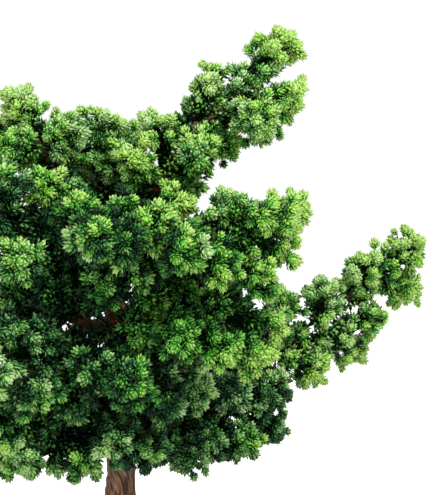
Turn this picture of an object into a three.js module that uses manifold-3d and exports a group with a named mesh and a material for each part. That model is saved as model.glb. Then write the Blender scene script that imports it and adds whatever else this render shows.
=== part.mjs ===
// A hinoki cypress bonsai of a congested dwarf form, planted in a plain unglazed pot.
// Millimetres, with +Z up. The origin is the middle of the pot's footprint, at table height.
import * as THREE from 'three';
import { mergeVertices } from 'three/addons/utils/BufferGeometryUtils.js';
import Module from 'manifold-3d';

const wasm = await Module();
wasm.setup();

// Pot
const POT_LENGTH = 150;
const POT_WIDTH = 112;
const POT_HEIGHT = 50;
const POT_CORNER = 20; // radius of the lip's corners
const POT_TAPER = 9; // how far the foot of the wall stands in from the lip
const POT_WALL = 5;
const POT_FLOOR = 6;
const LIP_HEIGHT = 7;
const LIP_REACH = 3;
const EDGE = 1.2; // chamfer of the pot's edges
const CORNER_POINTS = 5;
const FOOT_HEIGHT = 5;
const FOOT_SIZE = 22;
const FOOT_INSET = 24; // from the pot's sides to a foot's middle
const FOOT_OVERLAP = 1; // how far a foot reaches up into the pot's floor
const DRAIN_RADIUS = 6;
const DRAIN_SPACING = 64;
const ROUND_SIDES = 12; // sides of a round hole or upright cylinder
const SCREEN_SIZE = 20;
const SCREEN_THICKNESS = 1.2;
const SCREEN_HOLE = 5;
const SCREEN_PITCH = 7.5;

// Soil
const SOIL_EDGE_DROP = 4; // from the lip's top down to the soil at the wall
const SOIL_MOUND = 4;
const SOIL_RINGS = [0.75, 0.5, 0.25, 0.08]; // the mound's rings, as shares of the soil's size

// Wood
const SEAT = 0.3; // clearance wherever two pieces meet
const TRUNK_X = -9.5; // the trunk stands off the pot's middle, under the crown's weight
const FOOT_RADIUS = 9; // the trunk's buried foot
const FOOT_DEPTH = 14;
const TRUNK_SIDES = 8;
const TRUNK_ROWS = 11;
const LIMB_SIDES = 5;
const LIMB_STEP = 16;
const ROOT_COUNT = 5;
const ROOT_LENGTH = 30;
const ROOT_SHORTEST = 0.75; // share of that length
const ROOT_RADIUS = 3;
const ROOT_TIP = 0.35; // share of that radius
const ROOT_PLACES = [0.1, 0.35, 0.65, 1]; // shares of its length that shape a root
const ROOT_LIFT = 7; // how high a root leaves the flare
const ROOT_CLEARANCE = 0.9; // from a root to the soil's formula, over the soil's flats
const ROOT_SPREAD = 0.5; // unevenness in the roots' angles and in their wandering

// Foliage
const CORE_SIDES = 5;
const CORE_RADIUS = 4.3;
const CORE_STEP = 8.6;
const CORE_END = 0.7; // share of the radius at a core's end
const CORE_POINT = 0.5; // how far the end's middle stands out, as a share of the radius
const NECK_LENGTH = 3.5;
const NECK_RADIUS = 1.3;
const TUFT_HEIGHT = 9.4;
const TUFT_VARIETY = [0.85, 1.15]; // shares of that height between which the tufts vary
const TUFT_LEAN = 0.75; // how far a tuft leans forward along its shoot, in radians
const TUFT_TRIES = [1, 0.85, 0.7, 0.55, 0.4]; // a crowded tuft is shorter, or missing
const CORE_TRIES = [1, 0.85, 0.7, 0.55, 0.4, 0.3]; // and a crowded core is slimmer
const SHOOT_BEND = 0.14;
const FORK_SPAN = 0.85; // the share of a leading shoot that its forks are spread over
const FRAME_STEPS = 24; // steps in which a shoot's turning is followed
const SPOT_STEP = 2;
const SPRAY_GAP = 0.55; // from each spray to the surface halfway to its neighbour
const FORK_GAP = 0.4; // the same between the shoots of one spray
const SEED = 20417;

// Colours and roughness
const CLAY_BROWN = 0x4a3328;
const CLAY_ROUGHNESS = 0.7;
const SCREEN_BLACK = 0x1d1f1e;
const SCREEN_ROUGHNESS = 0.6;
const SOIL_BROWN = 0x3b2a1f;
const SOIL_ROUGHNESS = 0.95;
const BARK_BROWN = 0x6b4a33;
const BARK_ROUGHNESS = 0.85;
const SHADED_GREEN = 0x2f6d26;
const SUNNY_GREEN = 0x6fa83a;
const LEAF_ROUGHNESS = 0.45;

// The trunk's course: [x, y, z, radius], from the soil up.
const TRUNK_COURSE = [
  [0, 0, 52, 9],
  [0, 0, 62, 7],
  [1, 0, 76, 6],
  [-1, 2, 98, 5.4],
  [1, 3, 121, 4.8],
  [-1, 3, 146, 4.2],
  [1, 2, 168, 3.4],
  [-1, 2, 186, 2.5],
  [-2, 2, 200, 1.6],
];

// The boughs. Each leaves the trunk at its course's first point and carries sprays: at is
// where along the bough a spray starts, and tips are the ends of its leading shoot and of
// the shoots that fork from it. Places are [x, y, z] from the trunk's foot, at table height.
const BOUGHS = [
  {
    name: 'top_right',
    girth: [3.2, 1.6],
    course: [[0, 1, 170], [13, -2, 187], [24, -4, 204], [32, -6, 219]],
    sprays: [
      { at: 0.98, tips: [[67, -8, 229], [63, -10, 249], [55, -20, 218]] },
      { at: 0.9, tips: [[37, -4, 236]] },
      { at: 0.8, tips: [[41, -6, 210], [30, -24, 206]] },
      { at: 0.55, tips: [[16, -14, 216], [27, -16, 194]] },
      { at: 0.85, tips: [[38, 28, 223]] },
    ],
  },
  {
    name: 'leader',
    girth: [1.6, 1.4],
    course: [[-2, 2, 198], [-3, 2, 204]],
    sprays: [
      { at: 0.95, tips: [[-7, -2, 215], [2, 6, 211]] },
      { at: 0.6, tips: [[9, -22, 203]] },
      { at: 0.2, tips: [[-14, -6, 205], [-3, 32, 203]] },
    ],
  },
  {
    name: 'upper_left',
    girth: [2.8, 1.5],
    course: [[0, 3, 156], [-10, -12, 173], [-16, -18, 186], [-21, -20, 198]],
    sprays: [
      { at: 0.98, tips: [[-35, -22, 226], [-20, -26, 217], [-41, -40, 204]] },
      { at: 0.84, tips: [[-52, -14, 213], [-30, 10, 208], [-52, -4, 197]] },
      { at: 0.68, tips: [[-25, -46, 195]] },
    ],
  },
  {
    name: 'left',
    girth: [3.2, 1.6],
    course: [[0, 3, 150], [-17, -22, 167], [-31, -36, 176], [-44, -40, 182]],
    sprays: [
      { at: 0.98, tips: [[-96, -40, 193], [-74, -28, 209], [-74, -50, 176]] },
      { at: 0.8, tips: [[-39, -56, 196], [-51, -74, 175]] },
      { at: 0.6, tips: [[-32, -68, 169], [-21, -48, 185]] },
      { at: 0.4, tips: [[-22, -52, 155], [-12, -50, 176]] },
      { at: 0.85, tips: [[-65, -2, 177], [-60, 8, 194]] },
    ],
  },
  {
    name: 'front',
    girth: [2.4, 1.5],
    course: [[0, 2, 160], [-2, -28, 167], [-1, -44, 172]],
    sprays: [
      { at: 0.98, tips: [[-3, -88, 181], [8, -82, 177]] },
      { at: 0.7, tips: [[-11, -62, 186], [7, -54, 187]] },
      { at: 0.6, tips: [[-2, -60, 159], [11, -50, 164]] },
    ],
  },
  {
    name: 'right',
    girth: [3, 1.6],
    course: [[0, 2, 162], [14, -26, 173], [27, -42, 179]],
    sprays: [
      { at: 0.98, tips: [[61, -58, 186], [44, -50, 188], [54, -62, 161], [61, -54, 172]] },
      { at: 0.9, tips: [[26, -84, 175], [38, -76, 170]] },
      { at: 0.8, tips: [[22, -44, 188], [13, -70, 180]] },
      { at: 0.7, tips: [[68, -24, 185], [44, -16, 176]] },
    ],
  },
  {
    name: 'right_lower',
    girth: [3, 1.6],
    course: [[0, 3, 131], [12, -22, 141], [25, -36, 145]],
    sprays: [
      { at: 0.98, tips: [[57, -54, 146], [44, -46, 153], [52, -60, 136]] },
      { at: 0.9, tips: [[26, -72, 143], [39, -68, 140]] },
      { at: 0.6, tips: [[12, -50, 154], [12, -58, 142]] },
      { at: 0.8, tips: [[39, -22, 154], [23, -26, 160]] },
    ],
  },
  {
    name: 'long_right',
    girth: [3.8, 1.8],
    course: [[0, 3, 111], [24, 26, 116], [48, 42, 121], [70, 50, 125]],
    sprays: [
      { at: 0.98, tips: [[123, 56, 164], [85, 46, 145], [104, 50, 156], [122, 62, 146]] },
      { at: 0.88, tips: [[97, 60, 120], [107, 56, 133]] },
      { at: 0.8, tips: [[80, 50, 113], [68, 44, 141]] },
      { at: 0.6, tips: [[55, 50, 105], [53, 66, 127]] },
    ],
  },
  {
    name: 'low_right',
    girth: [2.8, 1.6],
    course: [[0, 2, 89], [17, 8, 95], [31, 14, 97]],
    sprays: [
      { at: 0.98, tips: [[63, 18, 108], [43, 2, 111], [61, 26, 91]] },
      { at: 0.8, tips: [[50, 2, 89], [29, -16, 89]] },
      { at: 0.6, tips: [[30, -16, 114], [19, 12, 106]] },
      { at: 0.7, tips: [[37, 44, 83], [18, 36, 80]] },
    ],
  },
  {
    name: 'low_front',
    girth: [2.4, 1.5],
    course: [[-1, 2, 103], [1, -24, 112], [2, -36, 117]],
    sprays: [
      { at: 0.98, tips: [[7, -74, 128], [-6, -68, 129]] },
      { at: 0.8, tips: [[16, -48, 128], [20, -54, 116]] },
      { at: 0.6, tips: [[1, -60, 104], [13, -44, 96]] },
    ],
  },
  {
    name: 'left_front',
    girth: [3, 1.6],
    course: [[0, 2, 105], [-12, -26, 118], [-22, -46, 127]],
    sprays: [
      { at: 0.98, tips: [[-49, -80, 142], [-34, -72, 146], [-41, -90, 132]] },
      { at: 0.9, tips: [[-24, -66, 144], [-27, -80, 124]] },
      { at: 0.6, tips: [[-12, -48, 135], [-14, -58, 116]] },
    ],
  },
  {
    name: 'low_left_front',
    girth: [2.4, 1.5],
    course: [[-1, 1, 87], [-13, -24, 96], [-22, -38, 102]],
    sprays: [
      { at: 0.98, tips: [[-40, -74, 112], [-51, -54, 118], [-33, -62, 99]] },
      { at: 0.7, tips: [[-10, -52, 95], [-45, -34, 93]] },
    ],
  },
  {
    name: 'low_left',
    girth: [3.2, 1.6],
    course: [[-1, 2, 95], [-20, 12, 100], [-38, 10, 105]],
    sprays: [
      { at: 0.98, tips: [[-104, 2, 120], [-52, -4, 96], [-70, -12, 105], [-79, -14, 136]] },
      { at: 0.78, tips: [[-65, 20, 127]] },
      { at: 0.6, tips: [[-41, 38, 86], [-43, 26, 123]] },
    ],
  },
  {
    name: 'mid_left',
    girth: [2.8, 1.5],
    course: [[0, 3, 133], [-13, -8, 140], [-25, -12, 143]],
    sprays: [
      { at: 0.98, tips: [[-54, -16, 151], [-37, -32, 157], [-43, -2, 136]] },
    ],
  },
  {
    name: 'low_back',
    girth: [2.8, 1.5],
    course: [[0, 2, 93], [-2, 32, 92], [-3, 48, 92]],
    sprays: [
      { at: 0.98, tips: [[-10, 90, 89], [-26, 78, 82]] },
      { at: 0.8, tips: [[14, 76, 80], [3, 72, 107], [23, 58, 99]] },
    ],
  },
  {
    name: 'back_right',
    girth: [2.8, 1.5],
    course: [[0, 3, 135], [11, 32, 140], [20, 46, 142]],
    sprays: [
      { at: 0.98, tips: [[44, 84, 147], [48, 56, 136], [26, 90, 133]] },
      { at: 0.6, tips: [[19, 66, 157]] },
    ],
  },
  {
    name: 'back_left',
    girth: [2.8, 1.5],
    course: [[0, 3, 142], [-12, 30, 146], [-22, 44, 150]],
    sprays: [
      { at: 0.98, tips: [[-46, 76, 156], [-29, 88, 136]] },
      { at: 0.62, tips: [[-49, 42, 143], [-25, 64, 168]] },
    ],
  },
  {
    name: 'back_upper',
    girth: [2.4, 1.5],
    course: [[0, 2, 178], [-2, 26, 184], [-1, 36, 188]],
    sprays: [
      { at: 0.98, tips: [[3, 72, 197], [16, 54, 190], [-4, 76, 174]] },
      { at: 0.55, tips: [[-16, 52, 194]] },
    ],
  },
];

// Small tools

// Repeatable random numbers from 0 to 1.
function seeded(seed) {
  let state = seed;
  return () => {
    state = (state + 0x6d2b79f5) | 0;
    let mixed = Math.imul(state ^ (state >>> 15), 1 | state);
    mixed = (mixed + Math.imul(mixed ^ (mixed >>> 7), 61 | mixed)) ^ mixed;
    return ((mixed ^ (mixed >>> 14)) >>> 0) / 2 ** 32;
  };
}

function vector([x, y, z]) {
  return new THREE.Vector3(x, y, z);
}

// A closed geometry with only its corners' places, each corner once.
function welded(geometry) {
  geometry.deleteAttribute('normal');
  geometry.deleteAttribute('uv');
  return mergeVertices(geometry);
}

// A closed body whose rows of corners run from one end to the other. place(turn, row, rim)
// gives each corner: turn is its angle, row counts from the first end, and rim is 1 on the
// side and 0 in the middle of an end.
function loft(sides, rows, place) {
  const body = welded(new THREE.CylinderGeometry(1, 1, rows, sides, rows));
  const corners = body.getAttribute('position');
  const corner = new THREE.Vector3();
  for (let i = 0; i < corners.count; i += 1) {
    corner.fromBufferAttribute(corners, i);
    const turn = Math.atan2(corner.x, corner.z);
    const row = Math.round(corner.y + rows / 2);
    const rim = Math.round(Math.hypot(corner.x, corner.z));
    corners.setXYZ(i, ...place(turn, row, rim).toArray());
  }
  return body;
}

function solid(geometry) {
  const vertProperties = new Float32Array(geometry.getAttribute('position').array);
  const triVerts = new Uint32Array(geometry.getIndex().array);
  return new wasm.Manifold(new wasm.Mesh({ numProp: 3, vertProperties, triVerts }));
}

function geometryOf(body) {
  const { vertProperties, triVerts } = body.getMesh();
  const geometry = new THREE.BufferGeometry();
  geometry.setAttribute('position', new THREE.BufferAttribute(vertProperties, 3));
  geometry.setIndex(new THREE.BufferAttribute(triVerts, 1));
  geometry.computeVertexNormals();
  return geometry;
}

function joined(bodies) {
  return bodies.reduce((whole, body) => whole.add(body));
}

// The largest connected piece, without the scraps that a cut leaves.
function largest(body) {
  const pieces = body.decompose();
  return pieces.reduce((best, piece) => (piece.volume() > best.volume() ? piece : best));
}

// A round bar along a curve, with a radius given along it from 0 to 1. grow makes a body
// that is larger all round, to cut a clear seat with.
function bar(curve, sides, rows, radius, grow = 0) {
  const frames = curve.computeFrenetFrames(rows);
  return loft(sides, rows, (turn, row, rim) => {
    const along = row / rows;
    const reach = rim * (radius(along) + grow);
    const past = row === rows ? grow : 0;
    return curve
      .getPointAt(along)
      .addScaledVector(frames.tangents[row], past)
      .addScaledVector(frames.normals[row], reach * Math.cos(turn))
      .addScaledVector(frames.binormals[row], reach * Math.sin(turn));
  });
}

// Pot, screens and soil

// A point of the pot's outline, a rectangle with rounded corners, inset from the lip.
function outlinePoint(turn, inset) {
  const sides = 4 * CORNER_POINTS;
  const side = (Math.round((turn / (2 * Math.PI)) * sides) + sides) % sides;
  const corner = Math.floor(side / CORNER_POINTS);
  const share = (side % CORNER_POINTS) / (CORNER_POINTS - 1);
  const angle = (corner + share) * (Math.PI / 2);
  const right = corner === 0 || corner === 3 ? 1 : -1;
  const back = corner < 2 ? 1 : -1;
  const radius = POT_CORNER - inset;
  return new THREE.Vector3(
    right * (POT_LENGTH / 2 - POT_CORNER) + radius * Math.cos(angle),
    back * (POT_WIDTH / 2 - POT_CORNER) + radius * Math.sin(angle),
    0,
  );
}

// A body from rows of the outline, each [inset, height, share of the outline's size].
function outlineLoft(rows) {
  return loft(4 * CORNER_POINTS, rows.length - 1, (turn, row, rim) => {
    const [inset, height, share = 1] = rows[row];
    return outlinePoint(turn, inset).multiplyScalar(rim * share).setZ(height);
  });
}

function uprightCylinder(radius, bottom, top, x, y) {
  const cylinder = new THREE.CylinderGeometry(radius, radius, top - bottom, ROUND_SIDES);
  cylinder.rotateX(Math.PI / 2);
  cylinder.translate(x, y, (bottom + top) / 2);
  return solid(welded(cylinder));
}

// A square block about a middle point.
function block(size, height, x, y, z) {
  const box = new THREE.BoxGeometry(size, size, height);
  box.translate(x, y, z);
  return solid(welded(box));
}

function potWall() {
  const lipFoot = POT_HEIGHT - LIP_HEIGHT;
  const inner = POT_WALL + LIP_REACH;
  return solid(outlineLoft([
    [POT_TAPER + EDGE, FOOT_HEIGHT],
    [POT_TAPER, FOOT_HEIGHT + EDGE],
    [LIP_REACH, lipFoot],
    [EDGE, lipFoot],
    [0, lipFoot + EDGE],
    [0, POT_HEIGHT - EDGE],
    [EDGE, POT_HEIGHT],
    [inner - EDGE, POT_HEIGHT],
    [inner, POT_HEIGHT - EDGE],
    [POT_WALL + POT_TAPER, FOOT_HEIGHT + POT_FLOOR],
  ]));
}

// One foot, a four-sided block that narrows towards the table.
function potFoot(right, back) {
  const height = FOOT_HEIGHT + FOOT_OVERLAP;
  const top = FOOT_SIZE / Math.SQRT2;
  const foot = new THREE.CylinderGeometry(top, top - EDGE, height, 4);
  foot.rotateY(Math.PI / 4);
  foot.rotateX(Math.PI / 2);
  foot.translate(
    right * (POT_LENGTH / 2 - FOOT_INSET),
    back * (POT_WIDTH / 2 - FOOT_INSET),
    height / 2,
  );
  return solid(welded(foot));
}

function drainPlaces() {
  return [-DRAIN_SPACING / 2, DRAIN_SPACING / 2];
}

function pot() {
  let body = potWall();
  for (const right of [-1, 1]) {
    for (const back of [-1, 1]) {
      body = body.add(potFoot(right, back));
    }
  }
  for (const x of drainPlaces()) {
    body = body.subtract(uprightCylinder(DRAIN_RADIUS, 0, 2 * POT_FLOOR + FOOT_HEIGHT, x, 0));
  }
  return geometryOf(body);
}

// A square of plastic mesh that keeps the soil in over a drainage hole.
function screen(x) {
  const middle = FOOT_HEIGHT + POT_FLOOR + SEAT + SCREEN_THICKNESS / 2;
  let mesh = block(SCREEN_SIZE, SCREEN_THICKNESS, x, 0, middle);
  for (const column of [-0.5, 0.5]) {
    for (const row of [-0.5, 0.5]) {
      const right = x + column * SCREEN_PITCH;
      const back = row * SCREEN_PITCH;
      mesh = mesh.subtract(block(SCREEN_HOLE, 2 * SCREEN_THICKNESS, right, back, middle));
    }
  }
  return geometryOf(mesh);
}

function screenPocket(x) {
  const height = 2 * (SCREEN_THICKNESS + 2 * SEAT);
  return block(SCREEN_SIZE + 2 * SEAT, height, x, 0, FOOT_HEIGHT + POT_FLOOR);
}

// How far the soil's side stands in from the lip's outline at a height, clear of the wall.
function soilInset(height) {
  const [floor, rim] = [FOOT_HEIGHT + POT_FLOOR, POT_HEIGHT - EDGE];
  const share = (height - floor) / (rim - floor);
  return SEAT + POT_WALL + THREE.MathUtils.lerp(POT_TAPER, LIP_REACH, share);
}

// Height of the mounded soil at a place, from the pot's middle.
function soilTop(x, y) {
  const edge = POT_HEIGHT - SOIL_EDGE_DROP;
  const inset = soilInset(edge);
  const share = Math.hypot(x / (POT_LENGTH / 2 - inset), y / (POT_WIDTH / 2 - inset));
  return edge + SOIL_MOUND * (1 - Math.min(share, 1) ** 2);
}

function soil() {
  const floor = FOOT_HEIGHT + POT_FLOOR + SEAT;
  const edge = POT_HEIGHT - SOIL_EDGE_DROP;
  const atWall = soilInset(edge);
  const rows = [[soilInset(floor), floor], [atWall, edge]];
  for (const share of SOIL_RINGS) {
    rows.push([atWall, edge + SOIL_MOUND * (1 - share ** 2), share]);
  }
  let body = solid(outlineLoft(rows));
  const foot = FOOT_RADIUS + SEAT;
  const bottom = TRUNK_COURSE[0][2] - FOOT_DEPTH - SEAT;
  body = body.subtract(uprightCylinder(foot, bottom, POT_HEIGHT + SOIL_MOUND, TRUNK_X, 0));
  for (const x of drainPlaces()) {
    body = body.subtract(screenPocket(x));
  }
  return geometryOf(body);
}

// Wood

function courseOf(places) {
  return new THREE.CatmullRomCurve3(places.map(vector));
}

function taper([thick, thin]) {
  return (along) => THREE.MathUtils.lerp(thick, thin, along);
}

function limbRows(curve) {
  return Math.max(2, Math.round(curve.getLength() / LIMB_STEP));
}

// The trunk's radius at a height, between the places that its course names.
function trunkRadius(height) {
  const next = TRUNK_COURSE.findIndex(([, , z]) => z >= height);
  if (next < 1) {
    return TRUNK_COURSE.at(next)[3];
  }
  const [low, high] = [TRUNK_COURSE[next - 1], TRUNK_COURSE[next]];
  return THREE.MathUtils.mapLinear(height, low[2], high[2], low[3], high[3]);
}

// The trunk from its buried foot, a plain cylinder, up to the leader.
function trunkBody(grow) {
  const curve = courseOf(TRUNK_COURSE);
  const radius = (along) => trunkRadius(curve.getPointAt(along).z);
  const above = solid(bar(curve, TRUNK_SIDES, TRUNK_ROWS, radius, grow));
  const bottom = TRUNK_COURSE[0][2] - FOOT_DEPTH;
  return above.add(uprightCylinder(FOOT_RADIUS, bottom, TRUNK_COURSE[0][2] + SEAT, 0, 0));
}

// A surface root, which leaves the flare and runs out along the soil.
function rootBody(index, random, grow) {
  const angle = ((index + ROOT_SPREAD * random()) / ROOT_COUNT) * 2 * Math.PI;
  const length = ROOT_LENGTH * THREE.MathUtils.lerp(ROOT_SHORTEST, 1, random());
  const wander = ROOT_SPREAD * (random() - 0.5);
  const radius = taper([ROOT_RADIUS, ROOT_TIP * ROOT_RADIUS]);
  const places = ROOT_PLACES.map((along) => {
    const out = along * length;
    const x = out * Math.cos(angle + wander * along);
    const y = out * Math.sin(angle + wander * along);
    const lift = ROOT_LIFT * (1 - along) ** 2 + ROOT_CLEARANCE;
    return [x, y, soilTop(x + TRUNK_X, y) + radius(along) + lift];
  });
  const curve = courseOf(places);
  return solid(bar(curve, LIMB_SIDES, places.length - 1, radius, grow));
}

function wood(grow = 0) {
  const random = seeded(SEED);
  const bodies = [trunkBody(grow)];
  for (let index = 0; index < ROOT_COUNT; index += 1) {
    bodies.push(rootBody(index, random, grow));
  }
  for (const bough of BOUGHS) {
    const curve = courseOf(bough.course);
    bodies.push(solid(bar(curve, LIMB_SIDES, limbRows(curve), taper(bough.girth), grow)));
  }
  return joined(bodies);
}

// Foliage

function spotsAlong(curve) {
  return curve.getSpacedPoints(Math.max(2, Math.round(curve.getLength() / SPOT_STEP)));
}

// A shoot's course from a point on what it grows from, bent a little along that.
function shootCourse(parent, at, tip) {
  const start = parent.getPointAt(at);
  const end = vector(tip);
  const bend = SHOOT_BEND * start.distanceTo(end);
  const middle = start.clone().lerp(end, 0.5).addScaledVector(parent.getTangentAt(at), bend);
  return new THREE.QuadraticBezierCurve3(start, middle, end);
}

// Every shoot of every spray, laid out before any is given its leaves.
function layOutShoots() {
  const shoots = [];
  for (const bough of BOUGHS) {
    const limb = courseOf(bough.course);
    bough.sprays.forEach(({ at, tips }, index) => {
      const spray = `spray_${bough.name}_${index + 1}`;
      const leading = shootCourse(limb, at, tips[0]);
      const forks = tips.slice(1).map((tip, fork) => {
        return shootCourse(leading, (FORK_SPAN * (fork + 1)) / tips.length, tip);
      });
      for (const course of [leading, ...forks]) {
        shoots.push({ spray, course, spots: spotsAlong(course) });
      }
    });
  }
  return shoots;
}

// Points of the wood with the radius there.
function layOutWood() {
  const spots = [];
  for (const { course, girth } of BOUGHS) {
    const curve = courseOf(course);
    const radius = taper(girth);
    const places = spotsAlong(curve);
    places.forEach((place, i) => spots.push({ place, radius: radius(i / places.length) }));
  }
  for (const [x, y, z, radius] of TRUNK_COURSE) {
    spots.push({ place: new THREE.Vector3(x, y, z), radius });
  }
  return spots;
}

function nearest(point, spots) {
  return Math.sqrt(Math.min(...spots.map((spot) => point.distanceToSquared(spot))));
}

// Whether a point is in the room that a shoot has between its neighbours and the wood.
function isFree(point, shoot, shoots, woodSpots) {
  const own = nearest(point, shoot.spots);
  for (const other of shoots) {
    if (other !== shoot) {
      const gap = other.spray === shoot.spray ? FORK_GAP : SPRAY_GAP;
      if (nearest(point, other.spots) < own + 2 * gap) {
        return false;
      }
    }
  }
  return woodSpots.every(({ place, radius }) => point.distanceTo(place) > radius + SPRAY_GAP);
}

// A shoot's slim core: a plain neck that widens into the leafy part, with a blunt end.
function coreRadius(row, rows) {
  if (row < 2) {
    return NECK_RADIUS;
  }
  return row === rows ? CORE_END * CORE_RADIUS : CORE_RADIUS;
}

function neckShare(course) {
  return NECK_LENGTH / course.getLength();
}

function shootCore({ course }, isRoomy) {
  const leafy = course.getLength() - NECK_LENGTH;
  const rows = 1 + Math.max(2, Math.round(leafy / CORE_STEP));
  const frames = course.computeFrenetFrames(FRAME_STEPS);
  return loft(CORE_SIDES, rows, (turn, row, rim) => {
    const angle = turn - (row * Math.PI) / CORE_SIDES;
    const first = neckShare(course);
    const along = row === 0 ? 0 : THREE.MathUtils.lerp(first, 1, (row - 1) / (rows - 1));
    const frame = Math.round(along * FRAME_STEPS);
    const middle = course.getPointAt(along);
    if (rim === 0) {
      const past = row === rows ? CORE_POINT * CORE_RADIUS : 0;
      return middle.addScaledVector(frames.tangents[frame], past);
    }
    const out = new THREE.Vector3()
      .addScaledVector(frames.normals[frame], Math.cos(angle))
      .addScaledVector(frames.binormals[frame], Math.sin(angle));
    const radius = coreRadius(row, rows);
    const places = CORE_TRIES.map((share) => middle.clone().addScaledVector(out, share * radius));
    return places.find(isRoomy) ?? places.at(-1);
  });
}

// Raises a three-sided tuft from every face of a core beyond its neck.
function raiseTufts(core, shoot, isRoomy, random) {
  const corners = Array.from(core.getAttribute('position').array);
  const faces = core.getIndex().array;
  const raised = [];
  const triangle = new THREE.Triangle();
  const normal = new THREE.Vector3();
  const middle = new THREE.Vector3();
  for (let i = 0; i < faces.length; i += 3) {
    const face = [faces[i], faces[i + 1], faces[i + 2]];
    triangle.setFromAttributeAndIndices(core.getAttribute('position'), ...face);
    triangle.getNormal(normal);
    triangle.getMidpoint(middle);
    const along = nearestShare(middle, shoot.spots);
    const height = TUFT_HEIGHT * THREE.MathUtils.lerp(...TUFT_VARIETY, random());
    const leafy = along > neckShare(shoot.course);
    const tip = leafy && tuftTip(middle, normal, along, height, shoot, isRoomy);
    if (tip) {
      const apex = corners.length / 3;
      corners.push(...tip.toArray());
      const [a, b, c] = face;
      raised.push(a, b, apex, b, c, apex, c, a, apex);
    } else {
      raised.push(...face);
    }
  }
  const geometry = new THREE.BufferGeometry();
  geometry.setAttribute('position', new THREE.Float32BufferAttribute(corners, 3));
  geometry.setIndex(raised);
  return geometry;
}

function nearestShare(point, spots) {
  const distances = spots.map((spot) => point.distanceToSquared(spot));
  return distances.indexOf(Math.min(...distances)) / (spots.length - 1);
}

// Where a tuft ends: out from its face and forward along the shoot, as long as there is room.
function tuftTip(middle, normal, along, height, shoot, isRoomy) {
  const direction = shoot.course
    .getTangentAt(along)
    .multiplyScalar(Math.sin(TUFT_LEAN))
    .addScaledVector(normal, Math.cos(TUFT_LEAN))
    .normalize();
  const places = TUFT_TRIES.map((share) => {
    return middle.clone().addScaledVector(direction, share * height);
  });
  return places.find(isRoomy);
}

function sprayBodies() {
  const shoots = layOutShoots();
  const woodSpots = layOutWood();
  const woodRoom = wood(SEAT);
  const random = seeded(SEED);
  const sprays = new Map();
  for (const shoot of shoots) {
    const isRoomy = (point) => isFree(point, shoot, shoots, woodSpots);
    const core = shootCore(shoot, isRoomy);
    const body = solid(raiseTufts(core, shoot, isRoomy, random));
    const begun = sprays.get(shoot.spray);
    sprays.set(shoot.spray, begun ? begun.add(body) : body);
  }
  for (const [name, body] of sprays) {
    sprays.set(name, largest(body.subtract(woodRoom)));
  }
  return sprays;
}

// Materials

function matte(color, roughness) {
  return new THREE.MeshStandardMaterial({ color, roughness, metalness: 0 });
}

// One spray's green, between a shaded and a sunny one.
function foliageMaterial(random) {
  const color = new THREE.Color(SHADED_GREEN).lerp(new THREE.Color(SUNNY_GREEN), random());
  return matte(color, LEAF_ROUGHNESS);
}

// The assembled bonsai

const bonsai = new THREE.Group();

function addPiece(name, geometry, material, x = 0) {
  const piece = new THREE.Mesh(geometry, material);
  piece.name = name;
  piece.position.x = x;
  bonsai.add(piece);
}

addPiece('pot', pot(), matte(CLAY_BROWN, CLAY_ROUGHNESS));
drainPlaces().forEach((x, index) => {
  addPiece(`drainage_screen_${index + 1}`, screen(x), matte(SCREEN_BLACK, SCREEN_ROUGHNESS));
});
addPiece('soil', soil(), matte(SOIL_BROWN, SOIL_ROUGHNESS));
addPiece('trunk', geometryOf(largest(wood())), matte(BARK_BROWN, BARK_ROUGHNESS), TRUNK_X);
const shades = seeded(SEED);
for (const [name, body] of sprayBodies()) {
  addPiece(name, geometryOf(body), foliageMaterial(shades), TRUNK_X);
}

export default bonsai;
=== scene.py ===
"""Looks for a congested dwarf hinoki cypress bonsai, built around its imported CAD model.

Each spray's CAD solid has a spike where a leafy tuft grows. The spray is replaced by a slim dark
core with a tuft of scale leaves on every spike, and smaller tufts between them. The trunk and the
pot are replaced by finer meshes. Growth inside the crown, crumbs of soil and moss are added.
Lengths are in metres.
"""

import math

import bmesh
import bpy
import numpy as np
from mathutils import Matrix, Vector, noise
from numpy.linalg import norm


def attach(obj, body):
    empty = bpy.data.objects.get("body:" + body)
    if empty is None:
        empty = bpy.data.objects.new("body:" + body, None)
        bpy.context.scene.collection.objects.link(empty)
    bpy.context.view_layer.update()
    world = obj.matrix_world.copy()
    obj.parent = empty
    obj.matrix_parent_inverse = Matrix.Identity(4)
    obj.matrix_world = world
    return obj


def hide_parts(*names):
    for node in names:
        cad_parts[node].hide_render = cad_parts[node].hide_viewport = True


MM = 0.001
UP = np.array([0.0, 0.0, 1.0])
THIRDS = math.tau * np.arange(3) / 3  # the turns to a three-sided thing's corners

# Seeds: the sprays have the first and those after it
SEED = 20417
INNER_SEED = SEED + 500
GRAIN_SEED = SEED + 700
MOSS_SEED = SEED + 800

# Camera and light
FRAME_HEIGHT_PX = 495
FOCAL_PX = 1625
SENSOR = 36.0  # mm, along the frame's longer side
TARGET = Vector((30.3, 0, 169)) * MM
ELEVATION = math.radians(5)
DISTANCE = 650 * MM
CLIP = (0.01, 50)
LIGHT_SIZE = 0.9
LIGHT_TARGET = Vector((0, 0, 0.15))
WORLD_STRENGTH = 1.02
FLOOR_SIZE = 6.0
FLOOR_COLOUR = (0.97, 0.97, 0.97, 1)
SPECULAR = 0.2

# Finding the spikes in a spray's solid
WELD = 0.005 * MM
SPIKE_FACES = 3
SPIKE_ANGLE = math.radians(230)  # the faces' angles at a spike's tip add up to less
SPIKE_SHORTEST = 2.0 * MM
STEEP = 0.8  # the upward part of a steep axis

# A leaf: a closed keeled scale with a base, two sides and a point
LEAF_LENGTH = 3.0 * MM
LEAF_WIDTH = 1.55 * MM
LEAF_KEEL = 0.3 * MM
LEAF_WAIST = 0.6  # how far along a leaf it is widest
LEAF_SIZES = (0.85, 1.15)
LEAF_FACES = np.array([[0, 3, 1], [0, 2, 3], [0, 1, 2], [1, 3, 2]])

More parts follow.
